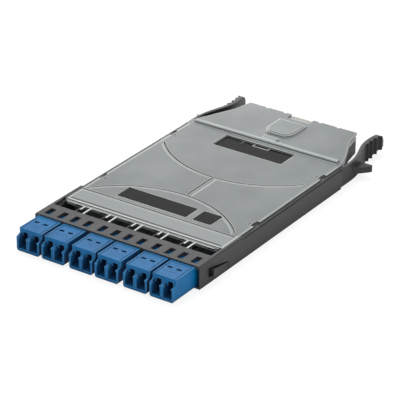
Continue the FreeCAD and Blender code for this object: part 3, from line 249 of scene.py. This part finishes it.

# Each line or band of painted light and shade: its sides, rows and heights, the fade of its
# border, its tone
PAINTED_LIGHT_AND_SHADE = (
    # Painted shade on the floors of the grooves and in the crease at the foot of every raised
    # form
    (ALL_SIDES, ALL_ROWS, IN_GROOVES, CRISP, "#26292A"),
    (ALL_SIDES, ALL_ROWS, AT_FEET, CRISP, "#3A3E3F"),
    # Painted light on the first groove behind the front rim, and a painted highlight on the bead
    # across the rear
    (ALL_SIDES, (18.2, 18.9), IN_GROOVES, CRISP, "#8A9090"),
    (ALL_SIDES, (121.8, 125.4), ON_BEAD, CRISP, "#A4AAAA"),
    # Ribs under the plate show through it as painted shade and highlights: two dark lines and a
    # bright one behind the front rim, and the paler strip behind them with its lit end
    ((-42.0, 42.0), (19.1, 20.1), ON_PLATE, SOFT, "#1E2122"),
    ((-42.0, 42.0), (20.1, 20.95), ON_PLATE, SOFT, "#E2E7E7"),
    ((-41.5, 41.5), (21.4, 22.4), ON_PLATE, SOFT, "#0C0D0E"),
    ((-42.5, 42.5), (22.4, 30.6), ON_PLATE, SOFT, "#949A9A"),
    ((-41.5, 41.5), (30.6, 31.3), ON_PLATE, SOFT, "#B4BABA"),
    # A painted highlight on the lit side of the line that joins the two arcs
    ((3.0, 4.0), (54.6, 75.7), ON_PLATE, SOFT, "#B8BEBE"),
    # Painted shade and a painted highlight along the left edge, and a painted highlight along the
    # right
    ((-43.9, -42.7), (20.0, 119.5), ON_PLATE, SOFT, "#0A0B0B"),
    ((-42.7, -41.6), (20.0, 119.5), ON_PLATE, SOFT, "#B6BCBC"),
    ((42.6, 43.7), (20.6, 34.0), ON_PLATE, SOFT, "#C4CACA"),
    ((42.6, 43.7), (34.0, 119.5), ON_PLATE, SOFT, "#A0A6A6"),
    # A painted sheen along the hood's rear edge
    ((-37.0, 37.0), (154.6, 158.0), ON_HOOD, HAZY, "#BEC4C4"),
)

# A painted highlight lies just ahead of each curved groove: the row of the arc's centre, the
# line's radii about it, and the rows within which it shows
ARC_RADIUS = 53.3
ARC_REACH = ARC_RADIUS + 3.0
ARC_SIDES = (-40.0, 40.0)
ARC_FADE = 0.1
ARC_HIGHLIGHT = "#A8AEAE"
FRONT_ARC_ROW = 0.4
REAR_ARC_ROW = 129.8
ARC_HIGHLIGHT_LINES = (
    (FRONT_ARC_ROW, (ARC_RADIUS - 1.8, ARC_RADIUS - 1.0),
     (FRONT_ARC_ROW, FRONT_ARC_ROW + ARC_REACH)),
    (REAR_ARC_ROW, (ARC_RADIUS + 1.0, ARC_RADIUS + 1.8),
     (REAR_ARC_ROW - ARC_REACH, REAR_ARC_ROW)),
)

# The frosted plate is a little cloudy and sags a little between its ribs. Its frost is far
# finer than shown, and is drawn at half a millimetre
CLOUD_MM = 26.0
SAG_MM = 34.0
SAG_DEPTH_MM = 0.5
FROST_MM = 0.5
FROST_DEPTH_MM = 0.02
COVER_ROUND_MM = 0.35
# Painted highlights along the cover's edges: how far they reach and how strongly they are laid
COVER_EDGE_MM = 0.6
COVER_EDGE_HIGHLIGHT = 0.9

# Shares of light that pass straight through: the frost as it is seen, the frost where it
# casts a shadow, the clear front face, and the polished areas
FROST_PASSES = 0.08
FROST_SHADOW_PASSES = 0.6
FACE_PASSES = 0.93
POLISH_PASSES = 0.1


def cover_colour(tree, place):
    """The milky grey of frosted plastic, with painted highlights on its edges and front rim, and
    lines and bands of painted light and shade laid over it.
    """
    clouds = add_node(tree, "TexNoise", {"Scale": 1 / (CLOUD_MM * MM), "Detail": 3.0,
                                         "Roughness": 0.55}, {"Vector": place})
    milk = add_node(tree, "ValToRGB", links={"Fac": clouds.outputs["Fac"]})
    set_stops(milk, (0.3, "#787F7F"), (0.7, "#8E9595"))
    # Painted highlights: near-white along the cover's edges and on its front rim
    painted_highlights = join_masks(tree, "MAXIMUM", [edge_mask(tree, COVER_EDGE_MM, COVER_EDGE_HIGHLIGHT),
                                       box_mask(tree, place, *FRONT_RIM)])
    areas = [(painted_highlights, "#FBFCFC")]
    for sides, rows, heights, fade_mm, tint in PAINTED_LIGHT_AND_SHADE:
        areas.append((box_mask(tree, place, sides, rows, heights, fade_mm), tint))
    for centre_row, radii, rows in ARC_HIGHLIGHT_LINES:
        ring = ring_mask(tree, place, centre_row, radii, ARC_FADE)
        span = box_mask(tree, place, ARC_SIDES, rows, ON_PLATE)
        areas.append((join_masks(tree, "MULTIPLY", [ring, span]), ARC_HIGHLIGHT))
    colour = milk.outputs["Color"]
    for mask, tint in areas:
        colour = add_node(tree, "Mix", {"data_type": "RGBA", 7: linear(tint)},
                          {0: mask, 6: colour}).outputs[2]
    return colour


def cover_grain(tree, place, rounded):
    """The normal of the frosted plate: fine frost on a slow sag, over rounded edges."""
    sag = add_node(tree, "TexNoise", {"Scale": 1 / (SAG_MM * MM), "Detail": 1.0},
                   {"Vector": place})
    frost = add_node(tree, "TexNoise", {"Scale": 1 / (FROST_MM * MM), "Detail": 2.0},
                     {"Vector": place})
    warp = add_node(tree, "Bump", {"Strength": 0.35, "Distance": SAG_DEPTH_MM * MM},
                    {"Height": sag.outputs["Fac"], "Normal": rounded})
    grain = add_node(tree, "Bump", {"Strength": 0.25, "Distance": FROST_DEPTH_MM * MM},
                     {"Height": frost.outputs["Fac"], "Normal": warp.outputs["Normal"]})
    return grain.outputs["Normal"]


def frost_openness(tree, place):
    """How much light passes straight through the frosted part and its clear front face."""
    path = add_node(tree, "LightPath")
    frost = add_node(tree, "MapRange", {"To Min": FROST_PASSES, "To Max": FROST_SHADOW_PASSES},
                     {"Value": path.outputs["Is Shadow Ray"]})
    face = add_node(tree, "Math", {"operation": "MULTIPLY", 1: FACE_PASSES},
                    {0: box_mask(tree, place, *FRONT_FACE)})
    return join_masks(tree, "MAXIMUM", [frost.outputs["Result"], face.outputs[0]])


def frosted_cover():
    """Clear polycarbonate, spark-frosted on top except for the polished areas: frosting
    turns the dark tray below it to a milky grey, and polish shows it dark."""
    material, tree = start_material("Polycarbonate, clear, frosted")
    place = add_node(tree, "TexCoord").outputs["Object"]
    edge = add_node(tree, "Bevel", {"samples": 8, "Radius": COVER_ROUND_MM * MM})
    rounded = edge.outputs["Normal"]
    frosted = add_node(tree, "BsdfPrincipled", {"Roughness": 0.3, "IOR": 1.58,
                                                "Coat Weight": 0.5, "Coat Roughness": 0.12},
                       {"Base Color": cover_colour(tree, place),
                        "Normal": cover_grain(tree, place, rounded)})
    polished = add_node(tree, "BsdfPrincipled", {"Base Color": linear("#0C0D0D"),
                                                 "Roughness": 0.1, "IOR": 1.42},
                        {"Normal": rounded})
    clear = add_node(tree, "BsdfTransparent", {"Color": linear("#E4E8E8")})
    milky = add_node(tree, "MixShader", links={"Fac": frost_openness(tree, place),
                                               1: frosted.outputs["BSDF"],
                                               2: clear.outputs["BSDF"]})
    glassy = add_node(tree, "MixShader", {"Fac": POLISH_PASSES},
                      {1: polished.outputs["BSDF"], 2: clear.outputs["BSDF"]})
    polish = join_masks(tree, "MAXIMUM", [box_mask(tree, place, *area)
                                          for area in POLISHED_AREAS])
    whole = add_node(tree, "MixShader", links={"Fac": polish, 1: milky.outputs["Shader"],
                                               2: glassy.outputs["Shader"]})
    add_node(tree, "OutputMaterial", links={"Surface": whole.outputs["Shader"]})
    return material


def zirconia():
    """Zirconia, polished: warm white ceramic with a little light inside it."""
    material, tree = start_material("Zirconia, polished")
    shader = add_node(tree, "BsdfPrincipled", {"Base Color": linear("#ECE8DC"),
                                               "Roughness": 0.15, "IOR": 2.1,
                                               "Subsurface Weight": 0.1})
    add_node(tree, "OutputMaterial", links={"Surface": shader.outputs["BSDF"]})
    return material


def dress_cassette():
    """Gives every CAD node its material."""
    # A spark-eroded mould leaves a dull, even charcoal, with a paler painted highlight along its
    # edges
    dress(["base_tray"],
          moulded_plastic("PC-ABS, charcoal, spark-eroded", "#39393B", "#404042",
                          grain_mm=0.45, grain_depth_mm=0.03, edge_mm=0.25,
                          roughness=0.5, edge_highlight="#5E5E60"))

    # The sprung arms and tongues are nylon: darker than the tray, with a waxy sheen and painted
    # edge highlights
    dress(["left_release_arm", "right_release_arm", "left_front_latch", "right_front_latch"],
          moulded_plastic("Nylon, charcoal, satin", "#242426", "#2C2C2E",
                          grain_mm=0.6, grain_depth_mm=0.02, edge_mm=0.3,
                          roughness=0.42, edge_highlight="#5A5A5C"))

    dress(["cover"], frosted_cover())

    # A clean, even blue with little gloss, thin pale painted highlights on its edges and painted
    # shade in its ports
    dress(numbered("lc_adapter_", 6),
          moulded_plastic("PBT, telecom blue, satin", "#00649F", "#0473B1",
                          grain_mm=0.4, grain_depth_mm=0.015, edge_mm=0.2,
                          roughness=0.36, shine=0.24, edge_highlight="#7CC0F0", edge_highlight_mm=0.2,
                          port_shade="#2C4468"))

    # Pale and smooth, seen through the notch in the cover
    dress(["mpo_adapter"],
          moulded_plastic("PC, beige, moulded", "#A6A49D", "#B0AEA7",
                          grain_mm=0.4, grain_depth_mm=0.015, edge_mm=0.2, roughness=0.45))

    # Hard, crisp and nearly black
    dress(numbered("lc_connector_", 12) + ["mpo_connector"],
          moulded_plastic("PEI, black, moulded", "#0E0F11", "#17181A",
                          grain_mm=0.4, grain_depth_mm=0.01, edge_mm=0.15, roughness=0.45))

    dress(numbered("split_sleeve_", 12), zirconia())

    # Drawn through a die, so it has hardly any grain and a soft sheen along its length
    dress(numbered("fibre_leg_", 12) + ["ribbon_trunk"],
          moulded_plastic("PVC tube, black, extruded", "#141619", "#1E2125",
                          grain_mm=0.8, grain_depth_mm=0.005, edge_mm=0.05, roughness=0.35))

    # A soft black with blunt edges
    dress(["fan_out_block"],
          moulded_plastic("Nylon, black, moulded", "#1A1B1D", "#242527",
                          grain_mm=0.5, grain_depth_mm=0.02, edge_mm=0.3, roughness=0.5))


# Floor, light and camera

FLOOR_SIZE = 6.0
FLOOR_GAP = 0.0002
FLOOR_GLOW = 1.14
FLOOR_GLOW_SHARE = 0.72
WORLD_LIGHT = 0.55
WHITE = (1.0, 1.0, 1.0, 1.0)
PALE = (0.9, 0.9, 0.9, 1.0)

# A high broad key from behind, a fill from the right and a low glow from the rear: where
# each stands from the cassette's middle and its width, in metres, and its power in watts
LAMPS = (("key", (-0.35, 0.5, 1.15), 0.8, 8.2),
         ("fill", (1.0, -0.1, 0.55), 0.8, 1.15),
         ("glow", (-0.75, 1.1, 0.28), 0.45, 1.6))

# The camera stands where the photograph's did: found by fitting about fifty points
CAMERA_PLACE = Vector((0.52113, -0.69967, 0.47647))
CAMERA_TURN = math.radians(34.213)
CAMERA_HEIGHT_ANGLE = math.radians(27.063)
CAMERA_ROLL = math.radians(0.308)
CAMERA_LENS = 199.47
CAMERA_FILM = 36.0


def lay_floor():
    """A pale matt floor a hair below the cassette, lifted to white where the camera sees
    it, so that the cassette's shadow stays faint."""
    bpy.ops.object.select_all(action="DESELECT")
    bpy.ops.mesh.primitive_plane_add(size=FLOOR_SIZE, location=(0, 0, -FLOOR_GAP))
    floor = bpy.context.object
    floor.name = "studio_floor"
    material, tree = start_material("Paper, white, matt")
    path = add_node(tree, "LightPath")
    matt = add_node(tree, "BsdfDiffuse", {"Color": PALE})
    glow = add_node(tree, "Emission", {"Color": WHITE, "Strength": FLOOR_GLOW})
    lift = add_node(tree, "Math", {"operation": "MULTIPLY", 1: FLOOR_GLOW_SHARE},
                    {0: path.outputs["Is Camera Ray"]})
    both = add_node(tree, "MixShader", links={"Fac": lift.outputs[0],
                                              1: matt.outputs["BSDF"],
                                              2: glow.outputs["Emission"]})
    add_node(tree, "OutputMaterial", links={"Surface": both.outputs["Shader"]})
    floor.data.materials.append(material)


def light_world():
    """Soft light from all round, and white where the camera looks past the floor."""
    world = bpy.data.worlds.new("studio")
    bpy.context.scene.world = world
    world.use_nodes = True
    tree = world.node_tree
    tree.nodes.clear()
    path = add_node(tree, "LightPath")
    seen = join_masks(tree, "MAXIMUM", [path.outputs["Is Camera Ray"],
                                        path.outputs["Is Transmission Ray"]])
    soft = add_node(tree, "Background", {"Color": WHITE, "Strength": WORLD_LIGHT})
    white = add_node(tree, "Background", {"Color": WHITE, "Strength": 1.0})
    mix = add_node(tree, "MixShader", links={"Fac": seen,
                                             1: soft.outputs["Background"],
                                             2: white.outputs["Background"]})
    add_node(tree, "OutputWorld", links={"Surface": mix.outputs["Shader"]})


def place_lamps(middle):
    """Round soft lamps that aim at the cassette's middle."""
    for name, offset, width, power in LAMPS:
        data = bpy.data.lights.new(name, "AREA")
        data.shape = "DISK"
        data.size = width
        data.energy = power
        lamp = bpy.data.objects.new(name, data)
        lamp.location = middle + Vector(offset)
        lamp.rotation_euler = (middle - lamp.location).to_track_quat("-Z", "Y").to_euler()
        bpy.context.scene.collection.objects.link(lamp)


def place_camera():
    """A camera at the photograph's viewing angle, with its slight roll."""
    data = bpy.data.cameras.new("camera")
    data.lens = CAMERA_LENS
    data.sensor_width = CAMERA_FILM
    data.clip_start = 0.01
    data.clip_end = 20.0
    camera = bpy.data.objects.new("camera", data)
    flat = math.cos(CAMERA_HEIGHT_ANGLE)
    back = Vector((math.sin(CAMERA_TURN) * flat, -math.cos(CAMERA_TURN) * flat,
                   math.sin(CAMERA_HEIGHT_ANGLE)))
    right = (-back).cross(Vector((0, 0, 1))).normalized()
    up = right.cross(-back)
    across = right * math.cos(CAMERA_ROLL) + up * math.sin(CAMERA_ROLL)
    upward = up * math.cos(CAMERA_ROLL) - right * math.sin(CAMERA_ROLL)
    turn = Matrix((across, upward, back)).transposed()
    camera.matrix_world = Matrix.Translation(CAMERA_PLACE) @ turn.to_4x4()
    bpy.context.scene.collection.objects.link(camera)
    bpy.context.scene.camera = camera


dress_cassette()
lay_floor()
light_world()
place_lamps((cad_low + cad_high) / 2)
place_camera()
bpy.context.scene.view_settings.view_transform = "Standard"
